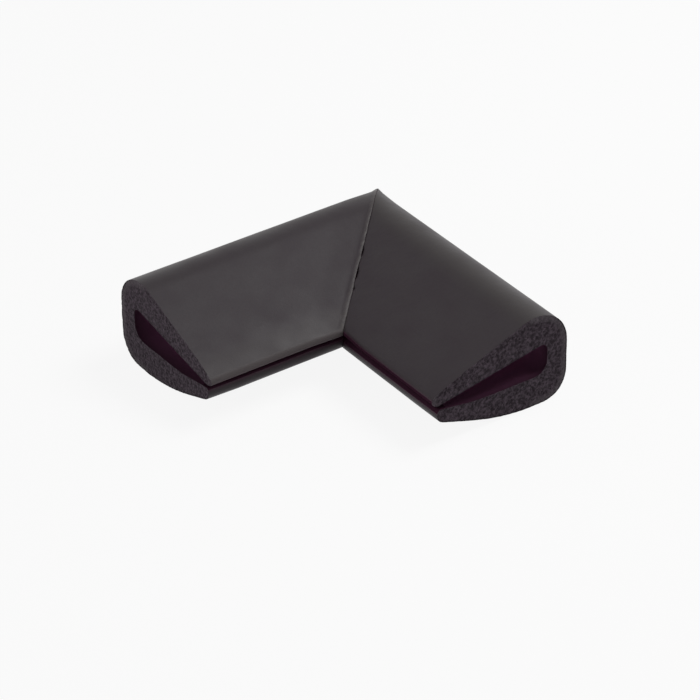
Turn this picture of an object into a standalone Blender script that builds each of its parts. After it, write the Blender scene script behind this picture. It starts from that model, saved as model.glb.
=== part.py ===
"""Furniture corner protector: two mitred lengths of a soft foam U-profile, bonded at a right angle.

The profile is a U lying on its side, closed at the back. Its slot grips the edge of a table top or shelf, and the
two lengths meet at the panel's corner. Metres, +Z up. The arms run from the outer corner along -X and -Y, the open
side of the slot faces the inside of the corner, and the origin is the middle of the part's box at its underside.
"""
import math

import bmesh
import bpy
from mathutils import Vector

# lengths of the two arms, from the outer corner to the cut end
left_arm_length = 0.0767
right_arm_length = 0.0771

# outside of the profile: depth runs from the back wall's outer face to the lips, height up from the underside
section_height = 0.0250
top_back_radius = 0.0095
upper_lip_depth = 0.0398
upper_lip_height = 0.0140
upper_lip_radius = 0.0015
bottom_back_radius = 0.0069
land_width = 0.0036
underside_bend_depth = 0.0205
lower_lip_depth = 0.0397
lower_lip_height = 0.0073
lower_lip_radius = 0.0025

# the slot: back face, flat floor and sloping roof
back_wall = 0.0058
slot_floor_height = 0.0081
slot_floor_depth = 0.0268
slot_floor_radius = 0.0035
floor_bend_radius = 0.0300
slot_roof_height = 0.0168
slot_roof_radius = 0.0018

# the mouth between the lips
mouth_depth = 0.0376
mouth_height = 0.0102
mouth_gap = 0.0009
upper_mouth_radius = 0.0019
lower_mouth_radius = 0.0006

# the bond line between the two mitred ends
bond_gap = 0.0003

# the foam's colour, linear
foam_colour = (0.035, 0.034, 0.035, 1.0)
foam_roughness = 0.6

arc_step = math.radians(7.5)
longest_chord = 0.0015
sharp_angle = math.radians(35)


def back_corner_height():
    """Height at which the top's slope meets the back wall's plane, so that the arc between them just reaches
    section_height."""
    centre = Vector((top_back_radius, section_height - top_back_radius))
    lip = Vector((upper_lip_depth, upper_lip_height)) - centre
    normal = math.atan2(lip.y, lip.x) + math.acos(top_back_radius / lip.length)
    return centre.y + top_back_radius * (1 + math.cos(normal)) / math.sin(normal)


def underside_bend_radius():
    """Radius of the arc that leaves the flat land at its end and turns up towards the lower lip."""
    rise = math.atan2(lower_lip_height, lower_lip_depth - underside_bend_depth)
    return (underside_bend_depth - bottom_back_radius - land_width) / math.tan(rise / 2)


def upper_mouth_height():
    """Height at which the slot's sloping roof, carried on past the mouth, meets the upper lip's front."""
    slope = (mouth_height + mouth_gap - slot_roof_height) / (mouth_depth - back_wall)
    return mouth_height + mouth_gap + slope * (upper_lip_depth - mouth_depth)


def profile_corners():
    """The profile's corners as (place, radius): round the outside, then back through the slot."""
    return [
        (Vector((upper_lip_depth, upper_lip_height)), upper_lip_radius),
        (Vector((0, back_corner_height())), top_back_radius),
        (Vector((0, 0)), bottom_back_radius),
        (Vector((underside_bend_depth, 0)), underside_bend_radius()),
        (Vector((lower_lip_depth, lower_lip_height)), lower_lip_radius),
        (Vector((mouth_depth, mouth_height)), lower_mouth_radius),
        (Vector((slot_floor_depth, slot_floor_height)), floor_bend_radius),
        (Vector((back_wall, slot_floor_height)), slot_floor_radius),
        (Vector((back_wall, slot_roof_height)), slot_roof_radius),
        (Vector((upper_lip_depth, upper_mouth_height())), upper_mouth_radius),
    ]


def rounded_outline(corners):
    """Points of the closed outline whose corners are turned by arcs; two arcs that share a short edge divide it."""
    places = [place for place, radius in corners]
    count = len(places)
    ahead = [(places[(index + 1) % count] - place).normalized() for index, place in enumerate(places)]
    halves = [ahead[index].angle(-ahead[index - 1]) / 2 for index in range(count)]
    runs = [radius / math.tan(half) for (place, radius), half in zip(corners, halves)]
    shares = []
    for index, place in enumerate(places):
        after = (index + 1) % count
        shares.append(min(1, (places[after] - place).length / (runs[index] + runs[after])))
    points = []
    for index, place in enumerate(places):
        run = runs[index] * min(shares[index - 1], shares[index])
        radius = run * math.tan(halves[index])
        middle = (ahead[index] - ahead[index - 1]).normalized()
        centre = place + middle * radius / math.sin(halves[index])
        first = place - ahead[index - 1] * run - centre
        last = place + ahead[index] * run - centre
        start = math.atan2(first.y, first.x)
        turn = math.atan2(first.cross(last), first.dot(last))
        steps = max(2, math.ceil(abs(turn) / arc_step), math.ceil(abs(turn) * radius / longest_chord))
        for step in range(steps + 1):
            angle = start + turn * step / steps
            points.append(centre + radius * Vector((math.cos(angle), math.sin(angle))))
    return points


def foam_material(name):
    """A matt dark foam rubber."""
    material = bpy.data.materials.new(name)
    material.use_nodes = True
    shader = material.node_tree.nodes["Principled BSDF"]
    shader.inputs["Base Color"].default_value = foam_colour
    shader.inputs["Roughness"].default_value = foam_roughness
    material.diffuse_color = foam_colour
    return material


def mitred_arm(name, length, along, inward, parent):
    """One length of profile: square cut at its open end, mitred where it meets the other length.

    along and inward are the arm's own directions, from the outer corner to its open end and from its back wall to
    its lips. The object's origin is the outer corner of the two back walls.
    """
    mesh = bpy.data.meshes.new(name)
    model = bmesh.new()
    outline = rounded_outline(profile_corners())
    ring = [model.verts.new(along * length + inward * point.x + Vector((0, 0, point.y))) for point in outline]
    cut_end = model.faces.new(ring)
    swept = bmesh.ops.extrude_face_region(model, geom=[cut_end], use_keep_orig=True)
    moved = [item for item in swept["geom"] if isinstance(item, bmesh.types.BMVert)]
    bmesh.ops.translate(model, verts=moved, vec=-along * length)

    # the mitre halves the right angle, half a bond gap clear of the plane between the arms
    to_other_arm = (inward - along).normalized()
    cut = bmesh.ops.bisect_plane(
        model,
        geom=model.verts[:] + model.edges[:] + model.faces[:],
        plane_co=-to_other_arm * bond_gap / 2,
        plane_no=to_other_arm,
        clear_outer=True,
    )
    mitre_edges = [item for item in cut["geom_cut"] if isinstance(item, bmesh.types.BMEdge)]
    bmesh.ops.edgeloop_fill(model, edges=mitre_edges)
    bmesh.ops.recalc_face_normals(model, faces=model.faces[:])
    model.to_mesh(mesh)
    model.free()
    mesh.shade_smooth()
    mesh.set_sharp_from_angle(angle=sharp_angle)
    mesh.materials.append(foam_material(name + "_foam"))

    arm = bpy.data.objects.new(name, mesh)
    bpy.context.collection.objects.link(arm)
    arm.parent = parent
    return arm


def main():
    for item in list(bpy.data.objects):
        bpy.data.objects.remove(item, do_unlink=True)
    corner = bpy.data.objects.new("outer_corner", None)
    bpy.context.collection.objects.link(corner)
    corner.location = (left_arm_length / 2, right_arm_length / 2, 0)
    mitred_arm("left_arm", left_arm_length, Vector((-1, 0, 0)), Vector((0, -1, 0)), corner)
    mitred_arm("right_arm", right_arm_length, Vector((0, -1, 0)), Vector((-1, 0, 0)), corner)


main()
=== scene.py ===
# Foam furniture corner protector: two mitred lengths of a soft U-shaped profile, dressed for a studio shot
import math
import bmesh
import bpy
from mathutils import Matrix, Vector, kdtree


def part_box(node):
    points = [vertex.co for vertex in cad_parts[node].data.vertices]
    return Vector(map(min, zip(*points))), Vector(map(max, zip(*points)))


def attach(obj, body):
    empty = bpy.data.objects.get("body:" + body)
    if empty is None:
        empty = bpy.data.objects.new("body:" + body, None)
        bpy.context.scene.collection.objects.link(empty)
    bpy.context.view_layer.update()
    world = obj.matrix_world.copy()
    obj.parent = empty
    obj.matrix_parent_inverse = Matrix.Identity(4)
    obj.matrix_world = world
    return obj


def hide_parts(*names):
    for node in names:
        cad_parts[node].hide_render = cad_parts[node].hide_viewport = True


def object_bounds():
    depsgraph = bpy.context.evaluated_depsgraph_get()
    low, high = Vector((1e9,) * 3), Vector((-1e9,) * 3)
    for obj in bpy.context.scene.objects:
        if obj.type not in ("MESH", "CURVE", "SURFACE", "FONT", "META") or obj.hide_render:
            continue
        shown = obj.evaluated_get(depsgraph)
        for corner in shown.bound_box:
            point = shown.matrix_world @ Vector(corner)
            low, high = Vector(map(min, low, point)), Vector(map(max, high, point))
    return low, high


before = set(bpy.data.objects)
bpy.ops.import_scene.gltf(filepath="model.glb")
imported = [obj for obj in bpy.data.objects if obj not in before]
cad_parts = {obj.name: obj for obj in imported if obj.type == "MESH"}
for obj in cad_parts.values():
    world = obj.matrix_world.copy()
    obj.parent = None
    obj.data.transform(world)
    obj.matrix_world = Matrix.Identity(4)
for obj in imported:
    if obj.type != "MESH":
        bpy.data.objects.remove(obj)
cadLow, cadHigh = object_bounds()
print("frame loaded with the nodes", ", ".join(sorted(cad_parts)))

mm = 0.001
sameSpot = 0.001 * mm                                   # closer than this counts as touching
mergeDistance = 20 * sameSpot                           # and closer than this is merged after the cuts
facing = 0.99                                           # a face looks along a direction from here up
outerCorner = Vector((cadHigh.x, cadHigh.y, 0))         # where the two back walls meet, on the floor
acrossSeam = Vector((-1, 1, 0)).normalized()            # square to the mitre, towards the left arm


def screenColour(red, green, blue):
    # a colour as a picture shows it, 0 to 255, turned into the linear values that the shaders take
    def toLinear(value):
        value = value / 255
        return value / 12.92 if value <= 0.04045 else ((value + 0.055) / 1.055) ** 2.4
    return (toLinear(red), toLinear(green), toLinear(blue), 1)


# Camera, set where the photograph was taken from

cameraSettings = {
    "azimuth": -34.69,            # degrees round the object, 0 looks along +Y
    "elevation": 33.10,
    "roll": -0.74,
    "distance": 888.9 * mm,       # along the view, from the outer corner's mid height
    "cornerHeight": 14.44 * mm,
    "cornerRight": 28.8155,       # pixels from the picture's middle to that point
    "cornerUp": 141.90,
    "focalPixels": 3514.0,
    "pictureSide": 700,
    "sensor": 36,
    "nearest": 10 * mm,           # the stretch that the camera sees
    "farthest": 20,
}


def setCamera(place):
    turn, tilt, roll = (math.radians(place[key]) for key in ("azimuth", "elevation", "roll"))
    back = Vector((math.sin(turn) * math.cos(tilt), -math.cos(turn) * math.cos(tilt), math.sin(tilt)))
    flatRight = Vector((math.cos(turn), math.sin(turn), 0))
    flatUp = back.cross(flatRight)
    right = flatRight * math.cos(roll) + flatUp * math.sin(roll)
    up = flatUp * math.cos(roll) - flatRight * math.sin(roll)
    perPixel = place["distance"] / place["focalPixels"]
    aimed = outerCorner + Vector((0, 0, place["cornerHeight"]))
    aimed -= (right * place["cornerRight"] + up * place["cornerUp"]) * perPixel
    bpy.ops.object.camera_add(location=aimed + back * place["distance"])
    camera = bpy.context.object
    camera.name = "photo_camera"
    camera.rotation_mode = "QUATERNION"
    axes = bpy.context.scene.cursor.matrix.to_3x3()
    axes.col[0], axes.col[1], axes.col[2] = right, up, back
    camera.rotation_quaternion = axes.to_quaternion()
    camera.data.sensor_width = place["sensor"]
    camera.data.lens = place["focalPixels"] / place["pictureSide"] * place["sensor"]
    camera.data.clip_start = place["nearest"]
    camera.data.clip_end = place["farthest"]
    bpy.context.scene.camera = camera


setCamera(cameraSettings)
print("camera placed")


# Helpers for edit mode, vertex groups and modifiers

def deselectAll():
    if bpy.context.object and bpy.context.object.mode != "OBJECT":
        bpy.ops.object.mode_set(mode="OBJECT")
    bpy.ops.object.select_all(action="DESELECT")


def makeActive(piece):
    deselectAll()
    piece.select_set(True)
    bpy.context.view_layer.objects.active = piece


def editPiece(piece):
    makeActive(piece)
    bpy.ops.object.mode_set(mode="EDIT")
    bpy.ops.mesh.select_mode(type="FACE")


def pick(piece, kind, wanted):
    # kind is verts, edges or faces, and wanted says yes or no to each of them
    bpy.ops.mesh.select_all(action="DESELECT")
    shape = bmesh.from_edit_mesh(piece.data)
    for item in getattr(shape, kind):
        if wanted(item):
            item.select_set(True)
    shape.select_flush_mode()
    bmesh.update_edit_mesh(piece.data)


def cutAlong(point, normal, **extra):
    bpy.ops.mesh.bisect(plane_co=point, plane_no=normal, threshold=sameSpot, **extra)


def applyModifiers(piece):
    makeActive(piece)
    for modifier in list(piece.modifiers):
        bpy.ops.object.modifier_apply(modifier=modifier.name)


def addGroup(piece, name, weightOf):
    # weightOf gives 0 to 1 for a vertex place
    group = piece.vertex_groups.new(name=name)
    for vertex in piece.data.vertices:
        weight = weightOf(vertex.co)
        if weight > 0:
            group.add([vertex.index], min(weight, 1), "REPLACE")


def between(points, value):
    # points are (value, result) pairs in rising order, joined by straight lines
    if value <= points[0][0]:
        return points[0][1]
    for (lowValue, lowResult), (highValue, highResult) in zip(points, points[1:]):
        if value <= highValue:
            return lowResult + (highResult - lowResult) * (value - lowValue) / (highValue - lowValue)
    return points[-1][1]


def addShade(piece, name, shadeOf):
    # a number at every vertex, for the materials to read
    shade = piece.data.attributes.new(name, "FLOAT", "POINT")
    for vertex in piece.data.vertices:
        shade.data[vertex.index].value = shadeOf(vertex.co)


def cloudTexture(name, size, kind="CLOUDS"):
    texture = bpy.data.textures.new(name, type=kind)
    texture.noise_scale = size
    return texture


def displace(piece, strength, direction, group, texture=None, middle=0.5):
    # without a texture everything in the group moves by the full strength
    modifier = piece.modifiers.new("uneven", "DISPLACE")
    modifier.direction = direction
    modifier.strength = strength
    modifier.vertex_group = group
    modifier.texture_coords = "GLOBAL"
    modifier.texture = texture
    modifier.mid_level = middle if texture else 0


# Materials

def startMaterial(name):
    material = bpy.data.materials.new(name)
    material.use_nodes = True
    return material, material.node_tree.nodes["Principled BSDF"]


def addNode(owner, kind, **settings):
    # owner is a material or the world
    node = owner.node_tree.nodes.new(kind)
    for key, value in settings.items():
        setattr(node, key, value)
    return node


def wire(owner, source, target):
    owner.node_tree.links.new(source, target)


def objectPlace(material):
    return addNode(material, "ShaderNodeTexCoord").outputs["Object"]


def noise(material, place, size, detail=3.0, rough=0.5):
    # size is that of one blotch, in metres
    node = addNode(material, "ShaderNodeTexNoise")
    node.inputs["Scale"].default_value = 1 / size
    node.inputs["Detail"].default_value = detail
    node.inputs["Roughness"].default_value = rough
    wire(material, place, node.inputs["Vector"])
    return node.outputs["Fac"]


def cells(material, place, size):
    node = addNode(material, "ShaderNodeTexVoronoi", feature="F1")
    node.inputs["Scale"].default_value = 1 / size
    wire(material, place, node.inputs["Vector"])
    return node.outputs["Distance"]


def spread(owner, source, fromLow, fromHigh, toLow, toHigh):
    node = addNode(owner, "ShaderNodeMapRange")
    node.inputs["From Min"].default_value = fromLow
    node.inputs["From Max"].default_value = fromHigh
    node.inputs["To Min"].default_value = toLow
    node.inputs["To Max"].default_value = toHigh
    wire(owner, source, node.inputs["Value"])
    return node.outputs["Result"]


def greatestOf(owner, *sources):
    highest = sources[0]
    for source in sources[1:]:
        node = addNode(owner, "ShaderNodeMath", operation="MAXIMUM")
        wire(owner, highest, node.inputs[0])
        wire(owner, source, node.inputs[1])
        highest = node.outputs[0]
    return highest


def blendColours(material, factor, first, second):
    # first and second are colours or sockets
    node = addNode(material, "ShaderNodeMix", data_type="RGBA")
    wire(material, factor, node.inputs["Factor"])
    colourSockets = [socket for socket in node.inputs if socket.type == "RGBA"]
    for colour, socket in zip((first, second), colourSockets):
        if isinstance(colour, bpy.types.NodeSocket):
            wire(material, colour, socket)
        else:
            socket.default_value = colour
    return [socket for socket in node.outputs if socket.type == "RGBA"][0]


def readShade(material, name):
    return addNode(material, "ShaderNodeAttribute", attribute_name=name).outputs["Fac"]


def addBump(material, height, depth, under=None):
    node = addNode(material, "ShaderNodeBump")
    node.inputs["Distance"].default_value = depth
    node.inputs["Strength"].default_value = 1
    wire(material, height, node.inputs["Height"])
    if under:
        wire(material, under, node.inputs["Normal"])
    return node.outputs["Normal"]


skinLook = {
    "colour": screenColour(44, 36, 41),
    "pale": screenColour(47, 40, 44),
    "speck": screenColour(34, 27, 32),
    "worn": screenColour(51, 46, 46),         # painted highlight, paler where the top turns down at the back and the lip
    "nose": screenColour(76, 70, 71),         # and palest on the nose of the lip, a painted highlight
    "torn": screenColour(78, 73, 72),         # the light edge along the bond: paler torn foam, partly a painted highlight
    "bondShade": screenColour(30, 22, 25),      # and painted shade on the edge beside it
    "roughness": (0.40, 0.50),
    "gloss": 0.23,
    "blotchSize": 9 * mm,
    "blotchRange": (0.35, 0.65),              # of the noise, closer together is more contrast
    "speckleSize": 0.7 * mm,
    "speckleRange": (0.3, 0.7),
    "speckleShare": 0.35,
    "raggedSize": 0.9 * mm,                   # breaks up the light edge
    "raggedRange": (0.35, 0.6),
    "raggedLeast": 0.3,
    "grainSize": 0.35 * mm,
    "grainDepth": 0.02 * mm,
    "dimpleSize": 2.2 * mm,
    "dimpleDepth": 0.04 * mm,
}

cutLook = {
    "wall": screenColour(83, 72, 81),         # cell walls painted light, as if they catch it
    # the hollows of the cells, painted in shade
    "cell": screenColour(33, 24, 31),
    "rim": screenColour(28, 22, 26),
    "smooth": screenColour(86, 79, 84),
    "mottleSize": 0.83 * mm,
    "mottleRange": (0.39, 0.61),
    "mottleDepth": 0.12 * mm,
    "cellSize": 0.7 * mm,
    "cellRange": (0.15, 0.75),                # from a cell's middle to its wall
    "cellShare": 0.4,
    "cellDepth": 0.1 * mm,
    "rimRange": (0.5, 0.85),
    "rimShare": 0.85,
    "roughness": 0.8,
    "gloss": 0.2,
}

slotLook = {
    "colour": screenColour(47, 24, 38),       # by the cut end, painted darker where the lamps shine in
    "pale": screenColour(52, 27, 42),
    "deep": screenColour(150, 94, 130),       # further in, painted paler where little light reaches
    "roughness": 0.85,
    "gloss": 0.1,
}

shadeLook = {
    "colour": screenColour(58, 33, 47),       # painted shade: a copy of the foam with no gloss, on the inner sides of the lips and the faces bonded together
    "pale": screenColour(64, 37, 52),
    "deep": screenColour(58, 33, 47),         # no paler further in
    "roughness": 0.9,
    "gloss": 0,
}

# inside the slot both have the same grain
innerGrain = {
    "blotchSize": 5 * mm,
    "blotchRange": (0.35, 0.65),
    "grainSize": 0.5 * mm,
    "grainDepth": 0.03 * mm,
}


def foamSkin():
    material, shader = startMaterial("foam skin")
    place = objectPlace(material)
    clouds = noise(material, place, skinLook["blotchSize"], detail=4)
    blotches = spread(material, clouds, *skinLook["blotchRange"], 0, 1)
    specks = noise(material, place, skinLook["speckleSize"], detail=4, rough=0.7)
    speckle = spread(material, specks, *skinLook["speckleRange"], 0, skinLook["speckleShare"])
    colour = blendColours(material, blotches, skinLook["colour"], skinLook["pale"])
    colour = blendColours(material, speckle, colour, skinLook["speck"])
    # painted highlight where the top turns down at the back and the lip
    colour = blendColours(material, readShade(material, "wornShade"), colour, skinLook["worn"])
    # painted highlight on the noses of the lips
    colour = blendColours(material, readShade(material, "noseShade"), colour, skinLook["nose"])
    # painted shade round the slit, on the noses of the lips
    colour = blendColours(material, readShade(material, "slotShade"), colour, shadeLook["colour"])
    # painted shade along the pressed edge of the bond
    bondShade = spread(material, readShade(material, "seamShade"), 0, -1, 0, 1)
    colour = blendColours(material, bondShade, colour, skinLook["bondShade"])
    # the light torn edge: paler torn foam, partly a painted highlight
    torn = spread(material, readShade(material, "seamShade"), 0, 1, 0, 1)
    breaks = noise(material, place, skinLook["raggedSize"], rough=0.7)
    ragged = spread(material, breaks, *skinLook["raggedRange"], skinLook["raggedLeast"], 1)
    tornFoamAndHighlight = addNode(material, "ShaderNodeMath", operation="MULTIPLY")
    wire(material, torn, tornFoamAndHighlight.inputs[0])
    wire(material, ragged, tornFoamAndHighlight.inputs[1])
    colour = blendColours(material, tornFoamAndHighlight.outputs[0], colour, skinLook["torn"])
    wire(material, colour, shader.inputs["Base Color"])
    smooth, dull = skinLook["roughness"]
    wire(material, spread(material, blotches, 0, 1, dull, smooth), shader.inputs["Roughness"])
    shader.inputs["Specular IOR Level"].default_value = skinLook["gloss"]
    grain = noise(material, place, skinLook["grainSize"], rough=0.6)
    dimples = noise(material, place, skinLook["dimpleSize"])
    grainBump = addBump(material, grain, skinLook["grainDepth"])
    skinBump = addBump(material, dimples, skinLook["dimpleDepth"], under=grainBump)
    wire(material, skinBump, shader.inputs["Normal"])
    return material


def cutFoam():
    material, shader = startMaterial("cut foam")
    place = objectPlace(material)
    pits = spread(material, cells(material, place, cutLook["cellSize"]), *cutLook["cellRange"], 1, 0)
    clouds = noise(material, place, cutLook["mottleSize"], rough=0.58)
    mottle = spread(material, clouds, *cutLook["mottleRange"], 0, 1)
    colour = blendColours(material, mottle, cutLook["cell"], cutLook["wall"])
    # painted shade in the hollows of the open cells
    pitShade = spread(material, pits, 0, 1, 0, cutLook["cellShare"])
    colour = blendColours(material, pitShade, colour, cutLook["cell"])
    colour = blendColours(material, readShade(material, "smoothShade"), colour, cutLook["smooth"])
    rim = spread(material, readShade(material, "rimShade"), *cutLook["rimRange"], 0, cutLook["rimShare"])
    colour = blendColours(material, rim, colour, cutLook["rim"])
    wire(material, colour, shader.inputs["Base Color"])
    shader.inputs["Roughness"].default_value = cutLook["roughness"]
    shader.inputs["Specular IOR Level"].default_value = cutLook["gloss"]
    mottleBump = addBump(material, mottle, cutLook["mottleDepth"])
    cellBump = addBump(material, pits, cutLook["cellDepth"], under=mottleBump)
    wire(material, cellBump, shader.inputs["Normal"])
    return material


def innerFoam(name, look):
    material, shader = startMaterial(name)
    place = objectPlace(material)
    clouds = noise(material, place, innerGrain["blotchSize"], detail=4)
    blotches = spread(material, clouds, *innerGrain["blotchRange"], 0, 1)
    colour = blendColours(material, blotches, look["colour"], look["pale"])
    # painted light: the slot is paler further in
    colour = blendColours(material, readShade(material, "deepShade"), colour, look["deep"])
    wire(material, colour, shader.inputs["Base Color"])
    shader.inputs["Roughness"].default_value = look["roughness"]
    shader.inputs["Specular IOR Level"].default_value = look["gloss"]
    grain = noise(material, place, innerGrain["grainSize"])
    wire(material, addBump(material, grain, innerGrain["grainDepth"]), shader.inputs["Normal"])
    return material


slotWall = innerFoam("slot wall", slotLook)
shadedFoam = innerFoam("shaded foam", shadeLook)
foamMaterials = (foamSkin(), cutFoam(), slotWall, shadedFoam)
cutIndex, slotIndex, shadeIndex = 1, 2, 3              # their places there, where the skin is 0
print("materials made")


# The foam arms

foamArm = {
    "outlineStep": 0.5 * mm,      # longest edge left round the profile
    "halvings": 7,                # often enough for the longest edge to get there
    "outlineSmoothing": 4,        # rounds off the solid's flat facets
    "flatAngle": math.radians(0.3),                     # triangles that bend less become one face
    "endTolerance": 0.01 * mm,    # the solid's open end is found to this
    "overrun": 5 * mm,            # the sweep goes on past the mitre before it is cut there
    "longEdge": 20 * mm,          # only the edges along an arm are longer
    "slices": 40,                 # rings along each arm
    "endRings": (0.2 * mm, 0.6 * mm, 1.5 * mm),
    "seamRings": (0.15 * mm, 0.3 * mm, 0.5 * mm, 0.75 * mm, 1.0 * mm, 1.4 * mm, 2 * mm, 3 * mm),
    "outlineCount": 60,           # a cut face has more corners than this, the side faces fewer
    "rim": 0.3 * mm,              # ring of faces round a cut face
    "rimReach": 1.0 * mm,         # how far in from the outline its dark line fades out
    "topEdge": ((2.5 * mm, 0), (6 * mm, 1)),            # along the top, by depth, there is none
    "topEdgeHeight": 12 * mm,
    "backSmooth": ((0, 1), (1.25 * mm, 0.6), (1.875 * mm, 0)),   # the cells are closed by the back wall
    "backReach": 11 * mm,
    "noseSmooth": ((37.5 * mm, 0), (38.4 * mm, 0.4)),   # and a little on the lips' noses
    "cellGrid": 0.27 * mm,        # mesh size on a cut face
    "seamClearance": 0.04 * mm,   # each arm stops this short of the mitre plane
    "lipBendStart": 31.5 * mm,    # the top bends down a little before its lip
    "lipBendEnd": 39.8 * mm,
    "noseBottom": 11.3 * mm,      # the upper nose stays from here down
    "noseBlend": 2.2 * mm,
    "dropRun": ((27 * mm, 0), (38 * mm, 1)),            # where the lower lip starts to hang down
    "liftRun": ((12 * mm, 0), (26 * mm, 1)),            # where the underside rises at the cut end
    "liftReach": 9 * mm,          # and how far along the arm it does
    "noseHighlightRun": ((38.7 * mm, 0), (39.3 * mm, 1)),        # the painted highlight on the noses of the lips
    "slotDeepEnd": 9 * mm,        # how far in the slot's painted light changes
    "waveDepth": 0.045 * mm,      # the skin isn't quite flat
    "waveSize": 15 * mm,
    "waveStart": 4 * mm,          # full waves from this height up
    "pitDepth": 0.34 * mm,        # open cells of the cut foam
    "pitSize": 0.9 * mm,
    "pitLevel": 0.75,             # the texture value that stays where it is
    "grainDepth": 0.16 * mm,
    "grainSize": 0.4 * mm,
    "grainLevel": 0.8,
    "outlineShare": 0.5,          # of the pits' depth is left at the outline
    "smoothAngle": math.radians(38),                    # sharper edges stay hard
    "seamSway": 0.30 * mm,        # the cut wanders off a straight line
    "seamSwaySize": 6 * mm,
    "seamReach": 6 * mm,          # how far from the bond the arms follow it
}

# the slot's own lines, by depth from the back wall
slotShape = {
    "back": 5.5 * mm,             # just short of the slot's back face
    "floor": ((5.8 * mm, 8.1 * mm), (26.8 * mm, 8.1 * mm), (37.6 * mm, 10.2 * mm)),
    "roof": ((5.8 * mm, 16.8 * mm), (39.8 * mm, 10.7 * mm)),
    "mouth": 37.6 * mm,
    "mouthMiddle": 10.6 * mm,     # between the two lips
    "slack": 0.3 * mm,            # so that the walls themselves count as inside
    "shadeStart": 35 * mm,        # the lips' inner sides from here on
    "inside": 0.99,               # a face counts as inside the slot above this shade
}

# along the bond, by depth from the back walls
bond = {
    "bow": ((0, 0.35 * mm), (4 * mm, 0.75 * mm), (12 * mm, 1.4 * mm), (17 * mm, 1.25 * mm),
            (30 * mm, 0.95 * mm), (38 * mm, 0.8 * mm)),
    "bowHeight": ((6 * mm, 0), (13 * mm, 1)),           # the underside keeps a straight cut
    "gaps": ((22.2 * mm, 1.3 * mm), (27.2 * mm, 1.7 * mm), (30.6 * mm, 0.5 * mm)),
    "gapDepth": 0.14 * mm,
    "gapWidth": 0.28 * mm,
    "gapReach": 1.0 * mm,
    "gapSteepness": 1.6,
    "visible": ((9 * mm, 0), (12 * mm, 1)),             # the lower lips meet cleanly
    "underside": ((1 * mm, 0), (3 * mm, 1)),            # and so do the two undersides
    "lumps": (17.5 * mm, 20.2 * mm, 23.9 * mm, 30.4 * mm, 31.7 * mm, 36.3 * mm),
    "lumpReach": 0.9 * mm,
    "lumpHeight": 0.12 * mm,
    "lumpWiden": 0.3,                                   # the light edge, partly a painted highlight, is wider and lighter on a lump
    "lumpLighten": 0.2,
    "tornSize": 1.3 * mm,                               # unevenness of the raised edge
    "evenShare": 0.45,
    "unevenShare": 1.1,
    "tip": 3.0 * mm,                                    # a small nib where the bond comes over the back
    "tipReach": 1.5 * mm,
    "tipHeight": 0.32 * mm,
    "tornReach": ((0, 0.75 * mm), (12 * mm, 0.65 * mm), (22 * mm, 0.55 * mm), (31 * mm, 0.65 * mm),
                  (34 * mm, 0.95 * mm), (39 * mm, 1.05 * mm)),      # width of the light edge, partly a painted highlight
    "bondShade": ((0, 0.1), (13 * mm, 0.15), (14.5 * mm, 0.5), (16 * mm, 0.2), (18 * mm, 0.5),
                (21 * mm, 0.9), (24 * mm, 0.7), (26 * mm, 1), (30 * mm, 0.9), (31.5 * mm, 0.4),
                (34 * mm, 0.4), (37 * mm, 1)),          # and strength of the painted shade beside it
    "bondShadeReach": 0.6 * mm,
}

leftArm = {
    "name": "foam_arm_left",
    "node": "left_arm",
    "along": Vector((-1, 0, 0)),
    "inward": Vector((0, -1, 0)),
    "intoArm": acrossSeam,
    "endAxis": "X",
    # shape of the cut edge, by distance from the bond
    "edge": ((0, 0.5), (0.2 * mm, 0.9), (0.4 * mm, 1), (0.7 * mm, 0.7), (1.0 * mm, 0.3), (1.4 * mm, 0)),
    "edgeLift": 0.13 * mm,        # this arm's cut edge stands proud
    "torn": True,
    # how pale the top is, by depth: a painted highlight where the top turns down
    "worn": ((0, 0.3), (6 * mm, 0.6), (9 * mm, 0.2), (14 * mm, 0), (33 * mm, 0), (36 * mm, 0.4),
             (40 * mm, 0.5)),
    "lipBend": 1.0 * mm,
    "lipDrop": 0.08 * mm,         # how far the lower lip hangs down
    "lowerNose": ((8.95 * mm, 0), (9.45 * mm, 1)),      # the painted shade of the slit fades over the noses, by height
    "upperNose": ((12.5 * mm, 1), (13.0 * mm, 0)),
    # strength of the painted highlight on the upper and the lower nose
    "upperNoseHighlight": 1,
    "lowerNoseHighlight": 0.75,
    "endLift": 0.42 * mm,         # the underside is a little higher at the cut end
}

rightArm = {
    "name": "foam_arm_right",
    "node": "right_arm",
    "along": Vector((0, -1, 0)),
    "inward": Vector((-1, 0, 0)),
    "intoArm": -acrossSeam,
    "endAxis": "Y",
    "edge": ((0, 1), (0.15 * mm, 0.7), (0.3 * mm, 0.4), (0.5 * mm, 0.15), (0.75 * mm, 0)),
    "edgeLift": -0.07 * mm,       # and this one's is pressed down
    "torn": False,
    # painted highlight on the top, by depth
    "worn": ((0, 0.2), (5 * mm, 0.2), (8 * mm, 1), (11 * mm, 0.8), (15 * mm, 0)),
    "lipBend": 0.4 * mm,
    "lipDrop": 0.33 * mm,
    "lowerNose": ((8.45 * mm, 0), (8.95 * mm, 1)),
    "upperNose": ((13.4 * mm, 1), (13.9 * mm, 0)),
    # strength of the painted highlight on the upper and the lower nose
    "upperNoseHighlight": 0.1,
    "lowerNoseHighlight": 0.1,
    "endLift": 0.25 * mm,
}


def endPlace(arm):
    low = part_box(arm["node"])[0]
    if arm["along"].x:
        return Vector((low.x, outerCorner.y, 0))
    return Vector((outerCorner.x, low.y, 0))


def depthAt(arm, place):
    # from the back wall towards the lips
    return (place - outerCorner).dot(arm["inward"])


def sectionPlace(arm, place):
    # depth and height, as on a drawing of the profile
    return depthAt(arm, place), place.z


def fromSeam(arm, place):
    return abs((place - outerCorner).dot(arm["intoArm"]))


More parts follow.
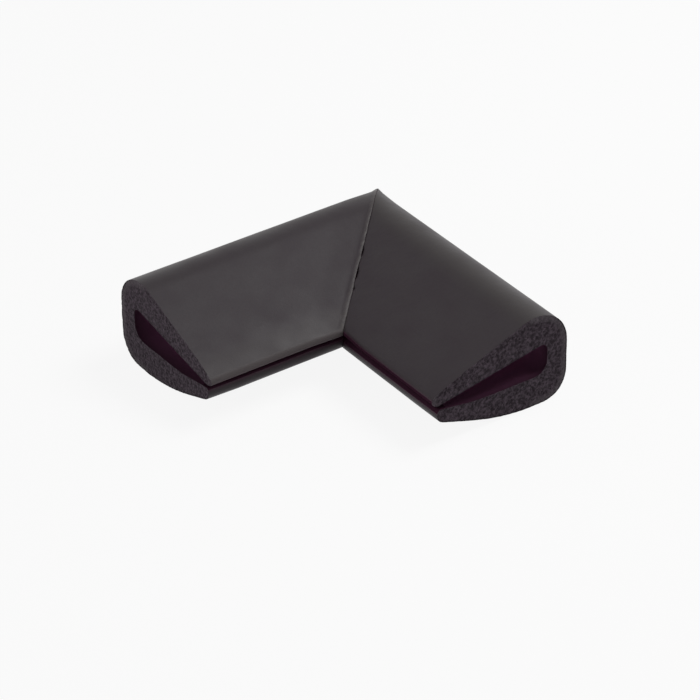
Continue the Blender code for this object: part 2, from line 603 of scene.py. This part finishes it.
def slotShadeAt(arm, place):
    # 1 inside the slot, 0 outside, and a soft change round the noses of the lips, where the skin is painted
    # in shade
    depth, height = sectionPlace(arm, place)
    if depth < slotShape["back"]:
        return 0
    floorHere = between(slotShape["floor"], depth) - slotShape["slack"]
    roofHere = between(slotShape["roof"], depth) + slotShape["slack"]
    if depth > slotShape["mouth"]:
        if height > slotShape["mouthMiddle"]:
            return between(arm["upperNose"], height)
        return between(arm["lowerNose"], height)
    return 1 if floorHere < height < roofHere else 0


def takeSection(arm):
    # the solid's own open end, with the flat facets of its arcs rounded off
    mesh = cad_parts[arm["node"]].data.copy()
    mesh.materials.clear()
    for material in foamMaterials:
        mesh.materials.append(material)
    piece = bpy.data.objects.new(arm["name"], mesh)
    bpy.context.scene.collection.objects.link(piece)
    end = endPlace(arm)
    editPiece(piece)
    bpy.ops.mesh.select_all(action="SELECT")
    bpy.ops.mesh.remove_doubles(threshold=2 * sameSpot)
    pick(piece, "faces", lambda face: all(
        abs((v.co - end).dot(arm["along"])) < foamArm["endTolerance"] for v in face.verts))
    bpy.ops.mesh.select_all(action="INVERT")
    bpy.ops.mesh.delete(type="FACE")
    bpy.ops.mesh.select_all(action="SELECT")
    bpy.ops.mesh.dissolve_limited(angle_limit=foamArm["flatAngle"])
    for halving in range(foamArm["halvings"]):
        pick(piece, "edges", lambda edge: edge.calc_length() > foamArm["outlineStep"])
        bpy.ops.mesh.subdivide(number_cuts=1)
    bpy.ops.mesh.select_all(action="SELECT")
    bpy.ops.mesh.vertices_smooth(factor=0.5, repeat=foamArm["outlineSmoothing"])
    bpy.ops.object.mode_set(mode="OBJECT")
    return piece


def sweepToMitre(piece, arm):
    end = endPlace(arm)
    mitre = outerCorner + arm["intoArm"] * foamArm["seamClearance"]
    length = (end - outerCorner).dot(arm["along"])
    editPiece(piece)
    bpy.ops.mesh.select_all(action="SELECT")
    sweep = -arm["along"] * (length + foamArm["overrun"])
    bpy.ops.mesh.extrude_region_move(TRANSFORM_OT_translate={"value": sweep})
    bpy.ops.mesh.select_all(action="SELECT")
    cutAlong(mitre, arm["intoArm"], use_fill=True, clear_inner=True)
    pick(piece, "edges", lambda edge: edge.calc_length() > foamArm["longEdge"])
    bpy.ops.mesh.subdivide(number_cuts=foamArm["slices"])
    for offset in foamArm["seamRings"]:
        bpy.ops.mesh.select_all(action="SELECT")
        cutAlong(mitre + arm["intoArm"] * offset, arm["intoArm"])
    for offset in foamArm["endRings"]:
        bpy.ops.mesh.select_all(action="SELECT")
        cutAlong(end - arm["along"] * offset, arm["along"])
    bpy.ops.mesh.select_all(action="SELECT")
    bpy.ops.mesh.remove_doubles(threshold=mergeDistance)
    bpy.ops.mesh.select_all(action="SELECT")
    bpy.ops.mesh.normals_make_consistent(inside=False)
    bpy.ops.object.mode_set(mode="OBJECT")


def setFaces(piece, index, wanted):
    pick(piece, "faces", wanted)
    shape = bmesh.from_edit_mesh(piece.data)
    for face in shape.faces:
        if face.select:
            face.material_index = index
    bmesh.update_edit_mesh(piece.data)


def gridCutFace(piece, arm):
    # a ring round the outline first, then a fine square grid over the cells inside it
    def looksOut(face):
        return face.normal.dot(arm["along"]) > facing

    def isCutFace(face):
        return len(face.verts) > foamArm["outlineCount"] and looksOut(face)

    end = endPlace(arm)
    editPiece(piece)
    pick(piece, "faces", isCutFace)
    bpy.ops.mesh.inset(thickness=foamArm["rim"], depth=0)
    setFaces(piece, cutIndex, isCutFace)
    low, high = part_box(arm["node"])
    depth = abs((high - low).dot(arm["inward"]))
    for direction, reach in ((Vector((0, 0, 1)), high.z), (arm["inward"], depth)):
        cuts = int(reach / foamArm["cellGrid"])
        for cut in range(1, cuts):
            pick(piece, "faces", lambda face: face.material_index == cutIndex)
            cutAlong(end + direction * (cut * reach / cuts), direction)
    setFaces(piece, cutIndex, looksOut)
    bpy.ops.object.mode_set(mode="OBJECT")


def darkenSlot(piece, arm):
    # the slot's walls, then the lips' inner sides and the hidden bond faces, are darker than the outer
    # skin; the lips' inner sides and the bond faces are painted shade
    def inSlot(face):
        return face.material_index != cutIndex and all(
            slotShadeAt(arm, v.co) > slotShape["inside"] for v in face.verts)

    editPiece(piece)
    setFaces(piece, slotIndex, inSlot)
    setFaces(piece, shadeIndex, lambda face: inSlot(face) and all(
        depthAt(arm, v.co) > slotShape["shadeStart"] for v in face.verts))
    setFaces(piece, shadeIndex, lambda face: face.normal.dot(arm["intoArm"]) < -facing)
    bpy.ops.object.mode_set(mode="OBJECT")


def gapAlong(depth):
    # 1 where the two edges have parted, 0 between those places
    steepness = bond["gapSteepness"]
    return max(0, max(min(1, steepness * (1 - abs(depth - where) / size)) for where, size in bond["gaps"]))


def lumpAlong(depth):
    return max(0, max(1 - abs(depth - where) / bond["lumpReach"] for where in bond["lumps"]))


def seamVisible(arm, place):
    # how far the torn line shows: not inside the slot, and not on the lower lips
    depth, height = sectionPlace(arm, place)
    visible = (1 - slotShadeAt(arm, place)) * between(bond["underside"], height)
    return visible * (between(bond["visible"], height) if depth > slotShape["shadeStart"] else 1)


def shadePiece(piece, arm):
    end = endPlace(arm)
    skinFaces = [p for p in piece.data.polygons if p.material_index != cutIndex]
    onSkin = {index for polygon in skinFaces for index in polygon.vertices}
    outline = [v.co.copy() for v in piece.data.vertices
               if v.index in onSkin and abs((v.co - end).dot(arm["along"])) < sameSpot
               and slotShadeAt(arm, v.co) < 0.5]
    tree = kdtree.KDTree(len(outline))
    for index, place in enumerate(outline):
        tree.insert(place, index)
    tree.balance()

    def rimAt(place):
        # no dark line where the cut face meets the top
        depth, height = sectionPlace(arm, place)
        onTop = between(foamArm["topEdge"], depth) if height > foamArm["topEdgeHeight"] else 0
        return max(0, 1 - tree.find(place)[2] / foamArm["rimReach"]) * (1 - onTop)

    def smoothAt(place):
        depth = depthAt(arm, place)
        nose = between(foamArm["noseSmooth"], depth)
        if depth > foamArm["backReach"]:
            return nose
        return max(nose, between(foamArm["backSmooth"], tree.find(place)[2]))

    def seamAt(place):
        # above 0 on the light torn edge, paler torn foam and partly a painted highlight; below 0 on the
        # pressed one, where shade is painted
        depth = depthAt(arm, place)
        distance = fromSeam(arm, place)
        if not arm["torn"]:
            # painted shade beside the pressed edge
            bondShade = between(bond["bondShade"], depth) * max(0, 1 - distance / bond["bondShadeReach"])
            return -bondShade * seamVisible(arm, place)
        lump = lumpAlong(depth)
        reach = between(bond["tornReach"], depth) * (1 + bond["lumpWiden"] * lump)
        lightness = 1 - bond["lumpLighten"] + bond["lumpLighten"] * lump
        return max(0, 1 - distance / reach) ** 0.5 * lightness * seamVisible(arm, place)

    def edgeHighlightAt(place):
        # a painted highlight on the top, by depth
        depth, height = sectionPlace(arm, place)
        return between(arm["worn"], depth) if height > foamArm["topEdgeHeight"] else 0

    def noseHighlightAt(place):
        # painted highlight on the noses, upper or lower
        depth, height = sectionPlace(arm, place)
        pale = arm["upperNoseHighlight"] if height > slotShape["mouthMiddle"] else arm["lowerNoseHighlight"]
        return pale * between(foamArm["noseHighlightRun"], depth)

    # painted light, from the cut end into the slot
    def deepAt(place):
        return min(1, (end - place).dot(arm["along"]) / foamArm["slotDeepEnd"])

    addShade(piece, "slotShade", lambda place: slotShadeAt(arm, place))
    addShade(piece, "deepShade", deepAt)
    addShade(piece, "rimShade", rimAt)
    addShade(piece, "smoothShade", smoothAt)
    addShade(piece, "seamShade", seamAt)
    addShade(piece, "wornShade", edgeHighlightAt)
    addShade(piece, "noseShade", noseHighlightAt)
    print(arm["name"], "shaded,", len(outline), "outline points")


def roughenCells(piece, arm):
    # cutting opens the cells, so the end is pitted, and only a few walls stand a little past it
    inner = {i for p in piece.data.polygons if p.material_index == cutIndex for i in p.vertices}
    outerLine = {i for p in piece.data.polygons if p.material_index != cutIndex for i in p.vertices}
    group = piece.vertex_groups.new(name="cells")
    group.add(sorted(inner - outerLine), 1, "REPLACE")
    group.add(sorted(inner & outerLine), foamArm["outlineShare"], "REPLACE")
    sign = 1 if arm["along"].x + arm["along"].y > 0 else -1
    pits = cloudTexture("open cells", foamArm["pitSize"], "VORONOI")
    grain = cloudTexture("torn walls", foamArm["grainSize"])
    displace(piece, sign * foamArm["pitDepth"], arm["endAxis"], "cells", pits, foamArm["pitLevel"])
    displace(piece, sign * foamArm["grainDepth"], arm["endAxis"], "cells", grain, foamArm["grainLevel"])
    applyModifiers(piece)


def bendLip(piece, arm):
    # the top turns down over the last few millimetres, and the slot's roof stays
    def bendAt(place):
        depth, height = sectionPlace(arm, place)
        if depth < foamArm["lipBendStart"] or height < between(slotShape["roof"], depth):
            return 0
        run = (depth - foamArm["lipBendStart"]) / (foamArm["lipBendEnd"] - foamArm["lipBendStart"])
        bottom = max(between(slotShape["roof"], depth), foamArm["noseBottom"])
        return run ** 2 * max(0, min(1, (height - bottom) / foamArm["noseBlend"]))

    def dropAt(place):
        # from nothing at the slot floor's bend to all of it at the lower nose
        depth, height = sectionPlace(arm, place)
        if height > slotShape["mouthMiddle"]:
            return 0
        return between(foamArm["dropRun"], depth)

    def liftAt(place):
        depth, height = sectionPlace(arm, place)
        nearEnd = max(0, 1 - (end - place).dot(arm["along"]) / foamArm["liftReach"])
        low = max(0, 1 - height / slotShape["mouthMiddle"]) ** 0.5
        return nearEnd * between(foamArm["liftRun"], depth) * low

    end = endPlace(arm)
    addGroup(piece, "lip bend", bendAt)
    addGroup(piece, "lower lip", dropAt)
    addGroup(piece, "cut end", liftAt)
    displace(piece, -arm["lipBend"], "Z", "lip bend")
    displace(piece, -arm["lipDrop"], "Z", "lower lip")
    displace(piece, arm["endLift"], "Z", "cut end")
    applyModifiers(piece)


def tearSeam(piece, arm):
    # one cut edge stands a little proud, the other is pressed down, and here and there they part
    def edgeAt(place):
        return between(arm["edge"], fromSeam(arm, place)) * seamVisible(arm, place)

    def lumpAt(place):
        near = max(0, 1 - fromSeam(arm, place) / bond["lumpReach"])
        return lumpAlong(depthAt(arm, place)) * near * seamVisible(arm, place)

    def tipAt(place):
        depth, height = sectionPlace(arm, place)
        along = max(0, 1 - abs(depth - bond["tip"]) / bond["tipReach"])
        near = max(0, 1 - fromSeam(arm, place) / bond["tipReach"])
        return along * near * (height > slotShape["mouthMiddle"])

    def gapAt(place):
        near = max(0, 1 - fromSeam(arm, place) / bond["gapReach"])
        return gapAlong(depthAt(arm, place)) * near * seamVisible(arm, place)

    addGroup(piece, "cut edge", edgeAt)
    torn = cloudTexture("torn edge", bond["tornSize"])
    displace(piece, bond["evenShare"] * arm["edgeLift"], "NORMAL", "cut edge")
    displace(piece, bond["unevenShare"] * arm["edgeLift"], "NORMAL", "cut edge", torn, middle=0)
    addGroup(piece, "tip", tipAt)
    displace(piece, bond["tipHeight"], "Z", "tip")
    if arm["torn"]:
        addGroup(piece, "lumps", lumpAt)
        displace(piece, bond["lumpHeight"], "NORMAL", "lumps")
    else:
        addGroup(piece, "gaps", gapAt)
        displace(piece, -bond["gapDepth"], "Z", "gaps")
        displace(piece, arm["intoArm"].x * bond["gapWidth"], "X", "gaps")
        displace(piece, arm["intoArm"].y * bond["gapWidth"], "Y", "gaps")
    applyModifiers(piece)


def bowSeam(piece, arm):
    # both arms follow the same bowed and wandering cut
    greatest = max(amount for depth, amount in bond["bow"])

    def nearAt(place):
        return max(0, 1 - fromSeam(arm, place) / foamArm["seamReach"])

    def bowAt(place):
        depth, height = sectionPlace(arm, place)
        return nearAt(place) * between(bond["bow"], depth) / greatest * between(bond["bowHeight"], height)

    addGroup(piece, "bow", bowAt)
    addGroup(piece, "near seam", nearAt)
    sway = cloudTexture("seam sway", foamArm["seamSwaySize"])
    displace(piece, -acrossSeam.x * greatest, "X", "bow")
    displace(piece, -acrossSeam.y * greatest, "Y", "bow")
    displace(piece, -acrossSeam.x * foamArm["seamSway"], "X", "near seam", sway)
    displace(piece, -acrossSeam.y * foamArm["seamSway"], "Y", "near seam", sway)
    applyModifiers(piece)


def waveSkin(piece):
    # the underside stays flat, because it rests on the floor
    addGroup(piece, "free skin", lambda place: place.z / foamArm["waveStart"])
    wave = cloudTexture("skin wave", foamArm["waveSize"])
    displace(piece, foamArm["waveDepth"], "NORMAL", "free skin", wave)
    applyModifiers(piece)


def finishArm(piece, arm):
    makeActive(piece)
    bpy.ops.object.shade_smooth_by_angle(angle=foamArm["smoothAngle"])
    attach(piece, "root")
    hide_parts(arm["node"])


def buildArm(arm):
    piece = takeSection(arm)
    sweepToMitre(piece, arm)
    gridCutFace(piece, arm)
    darkenSlot(piece, arm)
    shadePiece(piece, arm)
    waveSkin(piece)
    bendLip(piece, arm)
    tearSeam(piece, arm)
    bowSeam(piece, arm)
    roughenCells(piece, arm)
    finishArm(piece, arm)
    print(arm["name"], "built,", len(piece.data.polygons), "faces")


buildArm(leftArm)
buildArm(rightArm)


# Floor, world and lamps

studio = {
    "floorSide": 8,
    "floorDrop": 0.05 * mm,       # just under the part, so that the two never share a plane
    "floorColour": (0.85, 0.85, 0.85, 1),
    "floorRoughness": 0.9,
    "shadowShare": 0.10,          # how much of the floor's own shading shows
    "worldLight": 0.20,
}

# name, direction from the object, distance and size in metres, power in watts
lamps = (
    ("soft box", (0.50, -0.15, 0.85), 0.65, 0.30, 2.25),
    ("low front", (0.30, -0.90, 0.05), 0.65, 0.30, 0.12),
    ("left fill", (-0.96, 0.15, 0.25), 0.65, 0.30, 0.75),
    ("right side", (0.95, -0.10, 0.30), 0.65, 0.30, 0.30),
)


def layFloor():
    bpy.ops.mesh.primitive_plane_add(size=studio["floorSide"], location=(0, 0, -studio["floorDrop"]))
    floor = bpy.context.object
    floor.name = "floor"
    material, shader = startMaterial("floor paper")
    output = material.node_tree.nodes["Material Output"]
    shader.inputs["Base Color"].default_value = studio["floorColour"]
    shader.inputs["Roughness"].default_value = studio["floorRoughness"]
    shader.inputs["Specular IOR Level"].default_value = 0
    path = addNode(material, "ShaderNodeLightPath")
    seen = greatestOf(material, path.outputs["Is Camera Ray"], path.outputs["Is Glossy Ray"])
    share = addNode(material, "ShaderNodeMath", operation="MULTIPLY")
    wire(material, seen, share.inputs[0])
    share.inputs[1].default_value = 1 - studio["shadowShare"]
    glow = addNode(material, "ShaderNodeEmission")
    mixed = addNode(material, "ShaderNodeMixShader")
    wire(material, share.outputs[0], mixed.inputs[0])
    wire(material, shader.outputs[0], mixed.inputs[1])
    wire(material, glow.outputs[0], mixed.inputs[2])
    wire(material, mixed.outputs[0], output.inputs["Surface"])
    floor.data.materials.append(material)


def setWorld():
    world = bpy.data.worlds.new("studio world")
    bpy.context.scene.world = world
    world.use_nodes = True
    backdrop = world.node_tree.nodes["Background"]
    path = addNode(world, "ShaderNodeLightPath")
    rays = (path.outputs[kind] for kind in ("Is Camera Ray", "Is Glossy Ray", "Is Transmission Ray"))
    level = spread(world, greatestOf(world, *rays), 0, 1, studio["worldLight"], 1)
    backdrop.inputs["Color"].default_value = (1, 1, 1, 1)
    wire(world, level, backdrop.inputs["Strength"])


def addLamp(name, direction, distance, size, power):
    place = Vector(direction).normalized() * distance
    bpy.ops.object.light_add(type="AREA", location=place)
    lamp = bpy.context.object
    lamp.name = name
    lamp.data.energy = power
    lamp.data.size = size
    lamp.rotation_mode = "QUATERNION"
    lamp.rotation_quaternion = place.to_track_quat("Z", "Y")


layFloor()
setWorld()
for lampRow in lamps:
    addLamp(*lampRow)
bpy.context.scene.view_settings.view_transform = "Standard"
print("studio lit")
